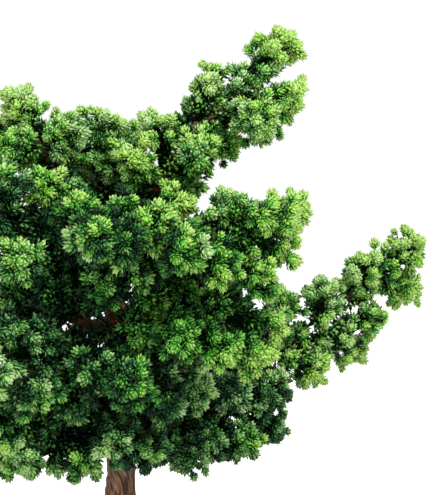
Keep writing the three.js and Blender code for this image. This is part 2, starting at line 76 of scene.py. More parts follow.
# A head: a stalk's few long leaves, and a dome of leaves at its end on a dense middle
HEAD_RADIUS = 3.0 * MM
HEAD_LENGTH = 5.2 * MM
HEAD_STRETCH = (0.9, 1.55)
HEAD_BELLY = 0.45  # how far along a head it is widest
HEAD_FOOT = 0.5  # its width at the foot, beside its widest
HEAD_PACKING = 0.8  # below 1, its leaves stand closer towards its tip
LEAN_FOOT = math.radians(78)  # a leaf's lean from its head's axis at the foot
LEAN_TIP = math.radians(8)
LEAN_SPREAD = 0.1
GOLDEN_ANGLE = math.pi * (3 - math.sqrt(5))
TURN_SPREAD = 0.15  # of the leaves' turns round the axis
STALK_RADIUS = 0.9 * MM
STALK_SINK = 1.5 * MM  # how far a stalk starts below its foot
STALK_LEAN = math.radians(22)
STALK_LEAVES = 2
STALK_LEAF = 2  # their length, beside a dome's
HEAD_CORE = 0.66  # the half width of the dense middle, beside the head's
HEAD_CORE_SIDES = 5
HEAD_CORE_SHARES = (0.2, 0.5, 0.85)  # its foot, ring and tip, along the dome
SPARSE_HEAD = 13  # heads of no more leaves have no dense middle

# A tuft: a head at its end, and in open places one beside it
END_SIZES = (0.85, 1.2)
SIDE_SIZES = (0.7, 1.1)
SIDE_START = (0.2, 0.45)  # where on the tuft the side head forks
SIDE_LEAN = math.radians(58)
SIDE_LEAN_SPREAD = 0.12
SIDE_REACH = (6.5 * MM, 8.5 * MM)
SIDE_TURNS = 9  # ways tried for a side head, to find the most open
LENGTH_USUAL = 0.8  # of a tuft, beside the spike it grows on
LENGTH_SPREAD = 0.16
LENGTH_LUMPS = 0.4  # how much longer a tuft is on a lump of the spray
LUMP_SCALE = 55  # lumps per metre
LENGTH_RANGE = (0.55, 1.2)
TUFT_TURN = 0.2  # random turn of a tuft's axis
OPEN_RADIUS = 17 * MM  # tufts nearer than this crowd a tuft
AHEAD_COSINE = 0.25  # and at a cosine over this from its axis
# Tufts by how many others crowd them: [most others, leaves, leaves of the side head]
TUFT_SORTS = [(6, 30, 27), (14, 20, 14), (math.inf, 13, 0)]

# Short tufts on a core's bare faces
PATCH_LEAVES = 11
PATCH_LENGTH = 5 * MM
PATCH_AREA = 3.5 * MM * MM  # smaller faces have none
PATCH_TURN = 0.8  # how much they turn with their neighbours
PATCH_CROWD = 12  # none grow where as many tufts crowd them
PATCH_SHADE = 8  # how many more seem to crowd them, which deepens their painted shade

# A whole spray
CORE_SHRINK = 1.5 * MM
SPRAY_SWEEPS = {  # how the tufts of a bough are combed
    "right": (0.6, 0, -0.3),
    "right_lower": (0.55, 0, -0.4),
    "left_front": (0.35, -0.1, -0.6),
    "low_left_front": (0.25, -0.1, -0.6),
    "low_front": (0.35, 0, -0.1),
    "top_right": (0.3, 0, 0.15),
    "long_right": (0.2, 0, -0.1),
}
OUTWARD_COMBED = 2  # the combing's part in what is outward

# Growth inside the crown: short tufts on the limbs, and shoots of tufts in the gaps
INNER_TUFTS = 2200  # tried
INNER_LOW = 80 * MM  # the trunk is bare below
INNER_TWIG = (1 * MM, 8 * MM)
INNER_LENGTH = (6 * MM, 9 * MM)
INNER_LEAVES = 11
INNER_SIZES = (1.1, 1.6)
INNER_BARE_SCALE = 40
INNER_BARE = 0.5  # noise above this leaves the bark bare
INNER_OUTWARD = 0.5  # how much a tuft turns from the trunk
INNER_UPWARD = 0.2
INNER_CROWD = 3  # tufts on limbs grow where more crowd them
TWIG_RADIUS = 0.45 * MM
TWIG_SIDES = [[0, 1, 4], [0, 4, 3], [1, 2, 5], [1, 5, 4], [2, 0, 3], [2, 3, 5]]
TWIG_FACES = np.array([*TWIG_SIDES, [0, 2, 1], [3, 4, 5]])
SHOOTS = 3600  # tried
SHOOT_LENGTH = (12 * MM, 32 * MM)
SHOOT_TURN = 0.4
SHOOT_LIFT = 0.25  # how far a shoot rises, beside its length
SHOOT_BEND = 0.12  # and bends to a side
SHOOT_JOINTS = 4
SHOOT_TUFTS = 2  # at each joint
SHOOT_TUFT_TURN = 0.7
SHOOT_ROOM = 8 * MM  # from a shoot's end to tufts and to other ends
SHOOT_WITHIN = 0.93  # the least part of all ways with sprays in them
WITHIN_RADIUS = 45 * MM
WITHIN_COSINE = 0.8

# Tones: each the place of a colour on the foliage ramps, or what is added to it
TONE_SPAN = 0.9  # leaves use the ramps up to here, twigs the rest
TWIG_TONE = 0.96
# painted shade: the spray cores are near-black
CORE_TONE = 0.03
LEAF_DARKEST = 2 * CORE_TONE
TONE_BASE = 0.24
TONE_OPEN = 0.36  # painted light for a tuft that none crowd; crowded tufts get painted shade
OPEN_FADE = 7.0  # TONE_OPEN falls to about a third where so many do
TONE_PATCHES = 0.26
TONE_PATCH_SCALE = 45
TONE_PATCH_SHIFT = (7, 3, 1)
# painted light: tufts that point up are lighter
TONE_UPWARD = 0.08
TONE_LONG = 0.3  # for a tuft longer by its spike's length
TONE_END = 0.14  # for new growth at a spray's end
TONE_SIDE = -0.05
TONE_SIDE_SPREAD = 0.1
TONE_SPREAD = 0.075
SHADE_SPREAD = 0.8  # more for each unit that a bough is darker
HEAD_SLOPE = 0.8  # from a head's foot to its tip: painted shade at the foot, painted light at the tip
HEAD_MIDDLE = 0.6
# painted shade: a head's dense middle is darker than its leaves
HEAD_CORE_SHADE = 0.14
LEAF_TONES = np.array([-0.14, -0.05, -0.05, 0.16])  # of its corners, beside its own: painted shade at the base, a painted highlight at the point
LEAF_TONE_SPREAD = 0.02
# Painted shade on the growth inside the crown: dark, and lighter where fewer tufts crowd it
INNER_TONE = 0.12
INNER_OPEN = 0.3
INNER_FADE = 6
INNER_TONE_SPREAD = 0.06
SPRAY_LIGHT_AND_SHADE = {  # painted light and shade of boughs, and of sprays that differ from theirs
    "top_right": 0.28,
    "upper_left": 0.23,
    "leader": 0.28,
    "front": -0.17,
    "right": 0.17,
    "right_2": -0.12,
    "right_lower": 0.18,
    "right_lower_2": 0.04,
    "long_right": 0.32,
    "left": -0.15,
    "left_front": 0.12,
    "left_front_3": -0.05,
    "low_left_front": 0.17,
    "low_left_front_2": -0.06,
    "mid_left": -0.06,
    "low_front": -0.19,
    "low_front_1": -0.13,
    "low_front_3": -0.26,
    "low_left": -0.15,
    "low_right": -0.07,
    "low_back": -0.2,
}

# Casts, from 0 for the vivid ramp to 1 for the dull one
CAST = 0.45  # of leaves of the usual tone
CAST_FALL = 0.8  # less for each unit that a bough is brighter, so boughs in painted shade are duller
CAST_SPREAD = 0.2
CAST_END = -0.35  # for new growth at a spray's end
LEAF_CASTS = 0.03 * np.array([0.0, -1.0, 1.0, 0.0])  # of its corners, beside its own
LEAF_CAST_SPREAD = 0.08
CORE_CASTS = (0.1, 0.9)
SPRAY_CASTS = {  # of boughs whose cast doesn't follow from their tone: partly their own hue, and on the left fronts a whiter bright end as painted glints
    "right": 0.1,
    "right_lower": 0.0,
    "left_front": 0.7,
    "low_left_front": 0.6,
    "front": 0.4,
    "low_right": 0.75,
}

# Steps between a face's corners, which give it room on the bake's map
TONE_STEP = 0.004
CAST_STEP = 0.02
LEAF_TONE_STEPS = TONE_STEP * np.array([0, 2, 3, 5])
LEAF_CAST_STEPS = CAST_STEP * np.array([1, 0, 2, 1])
TONE_STEPS = 0.01 * np.array([0, 1, -1])
CAST_STEPS = CAST_STEP * np.array([0, 1, -1])
TWIG_CASTS = 0.5 + 0.05 * np.array([0, 1, -1])

# Trunk
TRUNK_X = -9.5 * MM
BARK_VOXEL = 0.85 * MM
BARK_SMOOTH = 4
FIBRE_REACH = 9 * MM
FIBRE_ACROSS = 420  # fibres per metre round a limb
FIBRE_ALONG = 60  # and along it
FIBRE_DEPTH = 0.45 * MM
FIBRE_BLOCK = 2000  # places worked on at a time
GNARL_SCALE = 90
GNARL_DEPTH = 0.7 * MM

# Pot, as the CAD model has it
POT_HALF = (75 * MM, 56 * MM)
POT_CORNER = 20 * MM
POT_HEIGHT = 50 * MM
POT_TAPER = 9 * MM
POT_WALL = 5 * MM
POT_FLOOR = 6 * MM
LIP_HEIGHT = 7 * MM
LIP_REACH = 3 * MM
FOOT_HEIGHT = 5 * MM
FOOT_HALF = 11 * MM
FOOT_PLACE = (51 * MM, 32 * MM)
DRAIN_RADIUS = 6 * MM
DRAIN_X = 32 * MM
DRAIN_POINTS = 48
EDGE_ROUND = 1.4 * MM
CORNER_POINTS = 14
ROUND_POINTS = 4
SMOOTH_ANGLE = math.radians(40)

# Soil
SOIL_LOW = 40 * MM
SOIL_UPWARD = 0.5  # the least height of an upward face's normal
GRAINS = 3800
GRAIN_SIZE = (0.5 * MM, 1.5 * MM)
GRAIN_SQUASH = (0.65, 1)
GRAIN_LUMPS = (0.82, 1.1)
GRAIN_RISE = 0.3  # its middle's height over the soil, beside its size
GRAIN_TONES = (1.6, 2.6)  # the beta distribution's two numbers
GRAIN_TONE_RANGE = (0.02, 0.97)
GRAIN_CASTS = (0.1, 0.9)

# Moss, of closed three-sided blades
MOSS_BLADES = 6000  # tried
MOSS_HEIGHT = (0.9 * MM, 2.2 * MM)
MOSS_WIDTH = 0.35 * MM
MOSS_LEAN = 0.35
MOSS_RISE = 0.6 * MM
MOSS_SCALE = 38
MOSS_BARE = 0.12  # noise below this leaves the soil bare
MOSS_BY_TRUNK = 0.5  # how much more of it grows by the trunk
MOSS_REACH = 22 * MM  # and how far from it
MOSS_EDGE = 0.6  # of a blade's height, at a patch's edge
MOSS_THICK = 0.5  # the most that it adds inside
MOSS_FACES = np.array([[0, 2, 1], [0, 1, 3], [1, 2, 3], [2, 0, 3]])
MOSS_TONES = (0.35, 0.6)
MOSS_CORNERS = np.array([-0.25, -0.24, -0.23, 0.1])  # its corners' tones, beside its own
MOSS_CASTS = (0.1, 0.5)


def unit(vectors):
    """The vectors at length 1, along the last axis."""
    lengths = norm(vectors, axis=-1, keepdims=True)
    return vectors / np.maximum(lengths, 1e-12)


def around(axis, angle):
    """Unit vectors square to each axis, at an angle round it."""
    helper = np.where(np.abs(axis[..., 2:3]) > STEEP, [1.0, 0, 0], [0, 0, 1.0])
    across = unit(np.cross(axis, helper))
    return np.cos(angle) * across + np.sin(angle) * np.cross(axis, across)


def noise_at(places, scale, shift=(0, 0, 0)):
    return np.array([noise.noise(Vector(place) * scale + Vector(shift)) for place in places])


# Meshes


def add_object(name, data):
    piece = bpy.data.objects.new(name, data)
    bpy.context.scene.collection.objects.link(piece)
    return piece


def new_mesh_object(name, vertices, faces):
    """An object from arrays of vertices and of triangles."""
    mesh = bpy.data.meshes.new(name)
    mesh.vertices.add(len(vertices))
    mesh.vertices.foreach_set("co", np.asarray(vertices, np.float32).ravel())
    mesh.loops.add(3 * len(faces))
    mesh.loops.foreach_set("vertex_index", np.asarray(faces, np.int32).ravel())
    mesh.polygons.add(len(faces))
    mesh.polygons.foreach_set("loop_start", np.arange(0, 3 * len(faces), 3, dtype=np.int32))
    mesh.update(calc_edges=True)
    mesh.validate()
    return add_object(name, mesh)


def with_modifiers(piece):
    """A new mesh: the piece's, with its modifiers applied."""
    evaluated = piece.evaluated_get(bpy.context.evaluated_depsgraph_get())
    return bpy.data.meshes.new_from_object(evaluated)


def vertex_places(mesh):
    places = np.empty(3 * len(mesh.vertices), np.float32)
    mesh.vertices.foreach_get("co", places)
    return places.reshape(-1, 3).astype(float)


def merged_mesh(node):
    """A CAD node's vertices and triangles, with vertices at one place merged."""
    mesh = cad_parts[node].data
    places = vertex_places(mesh)
    mesh.calc_loop_triangles()
    corners = np.empty(3 * len(mesh.loop_triangles), np.int32)
    mesh.loop_triangles.foreach_get("vertices", corners)
    cells = np.round(places / WELD).astype(np.int64)
    _, first, inverse = np.unique(cells, axis=0, return_index=True, return_inverse=True)
    faces = inverse.reshape(-1)[corners.reshape(-1, 3)]
    a, b, c = faces.T
    return places[first], faces[(a != b) & (b != c) & (c != a)]


def face_corners(vertices, faces):
    """The faces' three corners, and their normals, as long as twice their areas."""
    a, b, c = (vertices[faces[:, corner]] for corner in range(3))
    return a, b, c, np.cross(b - a, c - a)


def surface_places(vertices, faces, count, random):
    """Places spread evenly at random over a mesh's triangles, with the normals there."""
    a, b, c, across = face_corners(vertices, faces)
    area = norm(across, axis=1)
    chosen = random.choice(len(faces), count, p=area / area.sum())
    u, v = random.uniform(size=(2, count, 1))
    folded = u + v > 1
    u, v = np.where(folded, 1 - u, u), np.where(folded, 1 - v, v)
    places = a[chosen] + u * (b - a)[chosen] + v * (c - a)[chosen]
    return places, unit(across[chosen])


# Pieces coloured by tone and cast. Their parts are arrays of vertices, of faces, and of each face
# corner's tone and cast.


def joined(parts):
    """One part from several."""
    starts = np.cumsum([0] + [len(part[0]) for part in parts[:-1]])
    vertices, faces, tones, casts = zip(*parts)
    faces = [numbers + start for numbers, start in zip(faces, starts)]
    return tuple(np.concatenate(arrays) for arrays in (vertices, faces, tones, casts))


def copies(vertices, faces, tones, casts):
    """A part of many things with the same faces, from each one's vertices and corners' values."""
    count, size = vertices.shape[:2]
    numbers = size * np.arange(count)[:, None, None] + faces
    corners = [np.broadcast_to(values, numbers.shape) for values in (numbers, tones, casts)]
    return vertices.reshape(-1, 3), *(values.reshape(-1, 3) for values in corners)


def clipped(values, low, high, steps):
    """Values clipped to a range that is narrower by each corner's step."""
    return np.clip(values, low + steps, high - steps[::-1])


def toned_piece(name, parts, materials):
    """A piece from its parts, with its darkest faces in the second material, if there is one."""
    vertices, faces, tones, casts = joined(parts)
    piece = new_mesh_object(name, vertices, faces)
    mesh = piece.data
    for label, values in (("tone", tones), ("cast", casts)):
        attribute = mesh.attributes.new(label, "FLOAT", "CORNER")
        attribute.data.foreach_set("value", values.astype(np.float32).ravel())
    baked_map = mesh.uv_layers.new(name="OFBake")  # laid out by tone and cast
    places = np.stack([tones.ravel(), casts.ravel()], axis=1)
    baked_map.data.foreach_set("uv", places.astype(np.float32).ravel())
    for material in materials:
        mesh.materials.append(material)
    if len(materials) > 1:
        # the darkest faces are the spray cores' painted shade
        dark = (tones.max(axis=1) < LEAF_DARKEST).astype(np.int32)
        mesh.polygons.foreach_set("material_index", dark)
    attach(piece, "root")
    return piece


# Materials


def new_material(name, roughness, specular=SPECULAR):
    material = bpy.data.materials.new(name)
    material.use_nodes = True
    shader = material.node_tree.nodes["Principled BSDF"]
    shader.inputs["Roughness"].default_value = roughness
    shader.inputs["Specular IOR Level"].default_value = specular
    return material, material.node_tree, shader


def attribute(tree, name):
    node = tree.nodes.new("ShaderNodeAttribute")
    node.attribute_name = name
    return node.outputs


def ramp(tree, value, stops):
    """A colour ramp over a value, from stops of [place, colour]."""
    node = tree.nodes.new("ShaderNodeValToRGB")
    elements = node.color_ramp.elements
    while len(elements) < len(stops):
        elements.new(0.5)
    for element, (place, colour) in zip(elements, stops):
        element.position = place
        element.color = (*colour, 1)
    tree.links.new(value, node.inputs["Fac"])
    return node.outputs["Color"]


def noise_over(tree, source, scale, detail, stretch=(1, 1, 1)):
    """A noise texture over a vector output, stretched."""
    mapping = tree.nodes.new("ShaderNodeMapping")
    mapping.inputs["Scale"].default_value = stretch
    texture = tree.nodes.new("ShaderNodeTexNoise")
    texture.inputs["Scale"].default_value = scale
    texture.inputs["Detail"].default_value = detail
    tree.links.new(source, mapping.inputs["Vector"])
    tree.links.new(mapping.outputs["Vector"], texture.inputs["Vector"])
    return texture.outputs["Fac"]


def object_places(tree):
    return tree.nodes.new("ShaderNodeTexCoord").outputs["Object"]


def map_range(tree, value, over, to):
    node = tree.nodes.new("ShaderNodeMapRange")
    for name, number in zip(("From Min", "From Max", "To Min", "To Max"), (*over, *to)):
        node.inputs[name].default_value = number
    tree.links.new(value, node.inputs["Value"])
    return node.outputs["Result"]


def vary_roughness(tree, shader, value, to):
    """Turns a noise into the shader's roughness."""
    rough = map_range(tree, value, over=(0.3, 0.7), to=to)
    tree.links.new(rough, shader.inputs["Roughness"])


def mixed(tree, factor, first, second):
    """A mix of two colours, between outputs."""
    mix = tree.nodes.new("ShaderNodeMix")
    mix.data_type = "RGBA"
    tree.links.new(factor, mix.inputs["Factor"])
    tree.links.new(first, mix.inputs["A"])
    tree.links.new(second, mix.inputs["B"])
    return mix.outputs["Result"]


def add_bump(tree, shader, height, distance, strength):
    bump = tree.nodes.new("ShaderNodeBump")
    bump.inputs["Distance"].default_value = distance
    bump.inputs["Strength"].default_value = strength
    tree.links.new(height, bump.inputs["Height"])
    tree.links.new(bump.outputs["Normal"], shader.inputs["Normal"])


def toned_material(name, stops, cast_stops, roughness):
    """A material whose colour is a ramp over the tone, turned towards a second ramp by the cast."""
    material, tree, shader = new_material(name, roughness)
    tone = attribute(tree, "tone")["Fac"]
    cast = attribute(tree, "cast")["Fac"]
    colour = mixed(tree, cast, ramp(tree, tone, stops), ramp(tree, tone, cast_stops))
    tree.links.new(colour, shader.inputs["Base Color"])
    return material


def leaf_material():
    """Near-black green in the depths, to bright yellow-green tips; twigs at the ramps' end."""
    vivid = [
        (0.0, (0.0, 0.007, 0.001)),
        (0.25, (0.004, 0.045, 0.004)),
        (0.5, (0.024, 0.18, 0.014)),
        (0.7, (0.108, 0.344, 0.024)),
        (0.9, (0.305, 0.496, 0.086)),
    ]
    # its pale top stands in partly for painted glints
    dull = [
        (0.0, (0.0, 0.006, 0.002)),
        (0.25, (0.003, 0.04, 0.01)),
        (0.5, (0.048, 0.148, 0.042)),
        (0.7, (0.145, 0.29, 0.095)),
        (0.9, (0.36, 0.49, 0.275)),
    ]
    twigs = [(0.93, (0.06, 0.032, 0.015)), (1.0, (0.16, 0.08, 0.035))]
    return toned_material("hinoki_leaf", vivid + twigs, dull + twigs, roughness=0.32)


def mottled_material(name, roughness, mottle, stops, rough=None, bump=None, specular=SPECULAR):
    """A material with its colour by a noise, and where given its roughness and bump."""
    material, tree, shader = new_material(name, roughness, specular)
    mottle = noise_over(tree, object_places(tree), *mottle)
    tree.links.new(ramp(tree, mottle, stops), shader.inputs["Base Color"])
    if rough and bump:
        vary_roughness(tree, shader, mottle, rough)
        add_bump(tree, shader, mottle, *bump)
    return material


def shade_core_material():
    """Painted shade on the cores inside the tufts: near-black dull green, with a little brown."""
    stops = [
        (0.4, (0.002, 0.008, 0.003)),
        (0.6, (0.006, 0.02, 0.006)),
        (0.75, (0.03, 0.022, 0.01)),
    ]
    return mottled_material("painted_shade_core", 1.0, (500, 3), stops, specular=0.0)


def soil_material():
    """Dark damp potting mix."""
    stops = [(0.35, (0.01, 0.007, 0.005)), (0.65, (0.075, 0.045, 0.026))]
    rough, bump = (1.0, 0.8), (0.8 * MM, 0.9)
    return mottled_material("soil_body", 0.95, (420, 5), stops, rough, bump)


def plastic_material():
    """Black mesh plastic, dusty from the soil."""
    stops = [(0.4, (0.012, 0.013, 0.012)), (0.7, (0.06, 0.045, 0.03))]
    rough, bump = (0.45, 0.8), (0.1 * MM, 0.4)
    return mottled_material("screen_plastic", 0.55, (300, 4), stops, rough, bump)


def grain_material():
    """Crumbs of peat, baked clay and pale pumice."""
    warm = [
        (0.0, (0.012, 0.008, 0.005)),
        (0.35, (0.05, 0.027, 0.014)),
        (0.6, (0.14, 0.07, 0.032)),
        (0.85, (0.26, 0.16, 0.09)),
        (1.0, (0.42, 0.36, 0.28)),
    ]
    grey = [
        (0.0, (0.01, 0.009, 0.008)),
        (0.35, (0.035, 0.028, 0.022)),
        (0.6, (0.09, 0.07, 0.055)),
        (0.85, (0.2, 0.17, 0.14)),
        (1.0, (0.45, 0.42, 0.38)),
    ]
    return toned_material("potting_mix", warm, grey, roughness=0.92)


def bark_material():
    """Stringy bark: dark furrows, and red-brown strips weathered to grey in patches."""
    material, tree, shader = new_material("hinoki_bark", roughness=0.85)
    strips = noise_over(tree, attribute(tree, "fibre")["Vector"], scale=1.6, detail=6)
    fresh = ramp(tree, strips, [
        (0.3, (0.018, 0.009, 0.006)),
        (0.45, (0.11, 0.048, 0.024)),
        (0.6, (0.26, 0.12, 0.055)),
        (0.8, (0.42, 0.27, 0.17)),
    ])
    weathered = ramp(tree, strips, [
        (0.3, (0.02, 0.015, 0.012)),
        (0.5, (0.12, 0.09, 0.07)),
        (0.8, (0.33, 0.28, 0.23)),
    ])
    patches = noise_over(tree, object_places(tree), scale=60, detail=3)
    grey = map_range(tree, patches, over=(0.45, 0.62), to=(0, 0.8))
    tree.links.new(mixed(tree, grey, fresh, weathered), shader.inputs["Base Color"])
    vary_roughness(tree, shader, strips, to=(0.95, 0.7))
    add_bump(tree, shader, strips, distance=0.5 * MM, strength=0.8)
    return material


def clay_material():
    """Unglazed dark-brown stoneware: blotched, with a pale speckled bloom in places."""
    material, tree, shader = new_material("stoneware", roughness=0.6)
    places = object_places(tree)
    blotches = noise_over(tree, places, scale=28, detail=5)
    body = ramp(tree, blotches, [
        (0.3, (0.04, 0.022, 0.015)),
        (0.5, (0.075, 0.041, 0.027)),
        (0.7, (0.12, 0.07, 0.045)),
    ])
    specks = noise_over(tree, places, scale=900, detail=2)
    pale = ramp(tree, specks, [(0.6, (0.1, 0.065, 0.045)), (0.72, (0.3, 0.25, 0.2))])
    streaks = noise_over(tree, places, scale=45, detail=6, stretch=(1, 1, 3))
    bloom = map_range(tree, streaks, over=(0.55, 0.75), to=(0.0, 0.5))
    tree.links.new(mixed(tree, bloom, body, pale), shader.inputs["Base Color"])
    vary_roughness(tree, shader, blotches, to=(0.5, 0.75))
    grit = noise_over(tree, places, scale=500, detail=4)
    add_bump(tree, shader, grit, distance=0.15 * MM, strength=0.6)
    return material


def dress_nodes():
    """New materials on the CAD nodes that stay in sight."""
    soil, plastic = soil_material(), plastic_material()
    materials = {"soil": soil, "drainage_screen_1": plastic, "drainage_screen_2": plastic}
    for node, material in materials.items():
        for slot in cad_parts[node].material_slots:
            slot.material = material


# Sprays


def corner_angles(vertices, faces):
    """The sum of the faces' angles at each vertex."""
    total = np.zeros(len(vertices))
    for turn in range(3):
        here, ahead, behind = (vertices[faces[:, (turn + step) % 3]] for step in range(3))
        cosine = np.sum(unit(ahead - here) * unit(behind - here), axis=1)
        np.add.at(total, faces[:, turn], np.arccos(np.clip(cosine, -1, 1)))
    return total


def read_spray(node):
    """Splits a spray's solid into its core and its spikes.

    The core has each spike's tip laid flat on its foot. A spike's ring is its three corners there,
    and its number is its tip's among the vertices.
    """
    vertices, faces = merged_mesh(node)
    count = np.bincount(faces.ravel(), minlength=len(vertices))
    sharp = corner_angles(vertices, faces) < SPIKE_ANGLE
    core = vertices.copy()
    spikes = []
    for vertex in np.nonzero((count == SPIKE_FACES) & sharp)[0]:
        ring = np.unique(faces[(faces == vertex).any(axis=1)])
        ring = ring[ring != vertex]
        foot = vertices[ring].mean(axis=0)
        length = norm(vertices[vertex] - foot)
        if len(ring) == SPIKE_FACES and length > SPIKE_SHORTEST:
            spikes.append((vertices[vertex], foot, ring, vertex))
            core[vertex] = foot
    tips, feet, rings, numbers = (np.array(column) for column in zip(*spikes))
    return dict(core=core, faces=faces, tips=tips, feet=feet, rings=rings, numbers=numbers)


def crowding(feet, tips, all_tips):
    """How many tufts lie ahead of each one, within the open radius."""
    ahead = np.zeros(len(tips))
    for index, (tip, direction) in enumerate(zip(tips, unit(tips - feet))):
        away = all_tips - tip
        distance = norm(away, axis=1)
        near = (distance < OPEN_RADIUS) & (away @ direction > AHEAD_COSINE * distance)
        ahead[index] = np.count_nonzero(near)
    return ahead


def patch_tufts(spray):
    """Feet and tips of the short tufts that cover the core's bare faces."""
    bare = ~np.isin(spray["faces"], spray["numbers"]).any(axis=1)
    a, b, c, across = face_corners(spray["core"], spray["faces"][bare])
    middles = (a + b + c) / 3
    large = norm(across, axis=1) / 2 > PATCH_AREA
    middles, normals = middles[large], unit(across[large])
    away = norm(middles[:, None] - spray["feet"][None], axis=2)
    leading = unit(spray["tips"] - spray["feet"])[away.argmin(axis=1)]
    return middles, middles + PATCH_LENGTH * unit(normals + PATCH_TURN * leading)


def spray_tufts(spray, all_tips):
    """The spray's tufts in sets: [feet, tips, tufts ahead, leaves, leaves of the side head]."""
    feet, tips = spray["feet"], spray["tips"]
    ahead = crowding(feet, tips, all_tips)
    sets = []
    fewest = 0
    for most, leaves, side_leaves in TUFT_SORTS:
        sort = (ahead >= fewest) & (ahead < most)
        sets.append((feet[sort], tips[sort], ahead[sort], leaves, side_leaves))
        fewest = most
    feet, tips = patch_tufts(spray)
    ahead = crowding(feet, tips, all_tips)
    shown = ahead < PATCH_CROWD
    sets.append((feet[shown], tips[shown], ahead[shown] + PATCH_SHADE, PATCH_LEAVES, 0))
    return sets


def vary(feet, tips, combed, random):
    """The tufts' tips with uneven lengths, longer on lumps of the spray, and axes turned a little.

    Returns the tips, and how much longer each tuft is than the usual, beside its spike.
    """
    reach = norm(tips - feet, axis=1, keepdims=True)
    lift = LENGTH_LUMPS * noise_at(tips, LUMP_SCALE) + random.normal(0, LENGTH_SPREAD, len(tips))
    factor = np.clip(LENGTH_USUAL + lift, *LENGTH_RANGE)
    turned = unit(unit(tips - feet) + combed + random.normal(0, TUFT_TURN, tips.shape))
    return feet + turned * reach * factor[:, None], factor - LENGTH_USUAL


def side_heads(feet, tips, taken, random):
    """Feet and tips of a head forking from each tuft, towards the widest gap by it."""
    axis = unit(tips - feet)[:, None]
    length = norm(tips - feet, axis=1)[:, None, None]
    each = (len(feet), 1, 1)
    turn = (random.uniform(size=each) + np.arange(SIDE_TURNS)[:, None]) / SIDE_TURNS
    out = around(axis, math.tau * turn)
    lean = SIDE_LEAN + random.normal(0, SIDE_LEAN_SPREAD, each)
    start = feet[:, None] + axis * length * random.uniform(*SIDE_START, each)
    reach = random.uniform(*SIDE_REACH, each)
    ends = start + reach * (np.cos(lean) * axis + np.sin(lean) * out)
    room = norm(ends[:, :, None] - taken[None, None], axis=3).min(axis=2)
    best = room.argmax(axis=1)
    return start[:, 0], ends[np.arange(len(feet)), best]


def head_width(share):
    """A head's half width, beside its widest, at shares of its length from foot to tip."""
    rise = np.sin(np.minimum(share / HEAD_BELLY, 1) * math.pi / 2)
    above = np.clip((share - HEAD_BELLY) / (1 - HEAD_BELLY), 0, 1)
    return (HEAD_FOOT + (1 - HEAD_FOOT) * rise) * np.sqrt(1 - above**2)


def head_spans(feet, tips, dome):
    """Each head's axis, and where its dome starts and how long it is along it."""
    axis = unit(tips - feet)[:, None]
    length = norm(tips - feet, axis=1)[:, None, None]
    dome = np.minimum(dome, length)
    return axis, length - dome, dome


def head_leaves(feet, tips, leaves, size, dome, random):
    """Closed leaves, a few up a stalk and the rest in a dome at its end, for each foot and tip.

    Returns vertices [head, leaf, 4, 3]: base, sides and point, and each leaf's share of the way up
    its dome, below 0 on the stalk.
    """
    axis, bare, dome = head_spans(feet, tips, dome)
    on_stalk = (np.arange(STALK_LEAVES) + 0.5) / STALK_LEAVES - 1
    on_head = ((np.arange(leaves) + 0.5) / leaves) ** HEAD_PACKING
    share = np.concatenate([on_stalk, on_head])
    share = np.broadcast_to(share, (len(feet), len(share)))
    up = share[..., None]
    stalk = up < 0
    turn = random.uniform(0, math.tau, (len(feet), 1))
    turn = turn + GOLDEN_ANGLE * np.arange(share.shape[1])
    turn = turn + random.normal(0, TURN_SPREAD, share.shape)
    lean = np.where(stalk, STALK_LEAN, LEAN_FOOT + (LEAN_TIP - LEAN_FOOT) * up)
    lean = lean + random.normal(0, LEAN_SPREAD, share.shape)[..., None]
    size_each = size * random.uniform(*LEAF_SIZES, share.shape)[..., None]
    length = LEAF_LENGTH * size_each * np.where(stalk, STALK_LEAF, 1)
    out = around(axis, turn[..., None])
    direction = np.cos(lean) * axis + np.sin(lean) * out
    inward = np.sin(lean) * axis - np.cos(lean) * out
    sideways = np.cross(axis, out)
    stalk_height = (bare + STALK_SINK) * (1 + up) - STALK_SINK + dome / 2
    height = np.where(stalk, stalk_height, bare + dome * up)
    radius = np.where(stalk[..., 0], STALK_RADIUS, HEAD_RADIUS * head_width(np.abs(share)))
    point = feet[:, None] + axis * height + out * size * radius[..., None]
    base = point - direction * length
    waist = base + direction * length * LEAF_WAIST + inward * LEAF_KEEL * size_each
    half = sideways * LEAF_WIDTH * size_each / 2
    return np.stack([base, waist - half, waist + half, point], axis=2), share


def head_cores(feet, tips, tones, casts, size, dome):
    """The dense middle of each head, which its leaves stand on: a closed spindle."""
    axis, bare, dome = head_spans(feet, tips, dome)
    low, middle, high = HEAD_CORE_SHARES
    share = np.array([low, *[middle] * HEAD_CORE_SIDES, high])
    number = np.arange(len(share))
    out = around(axis, math.tau * number[:, None] / HEAD_CORE_SIDES)
    radius = HEAD_CORE * HEAD_RADIUS * size * (share == middle)[:, None]
    vertices = feet[:, None] + axis * (bare + dome * share[:, None]) + out * radius
    ring = number[1:-1]
    after = np.roll(ring, -1)
    foot_faces = np.stack([0 * ring, after, ring], axis=1)
    tip_faces = np.stack([0 * ring + number[-1], ring, after], axis=1)
    faces = np.concatenate([foot_faces, tip_faces])
    # painted shade on the dense middle, darker towards the foot
    tone = tones[:, None] + HEAD_SLOPE * (share - HEAD_MIDDLE) - HEAD_CORE_SHADE
    tone = clipped(tone, LEAF_DARKEST, TONE_SPAN, TONE_STEP * number)
    cast = np.clip(casts[:, None], *CORE_CASTS) + CAST_STEP * (number % 3)
    return copies(vertices, faces, tone[:, faces], cast[:, faces])


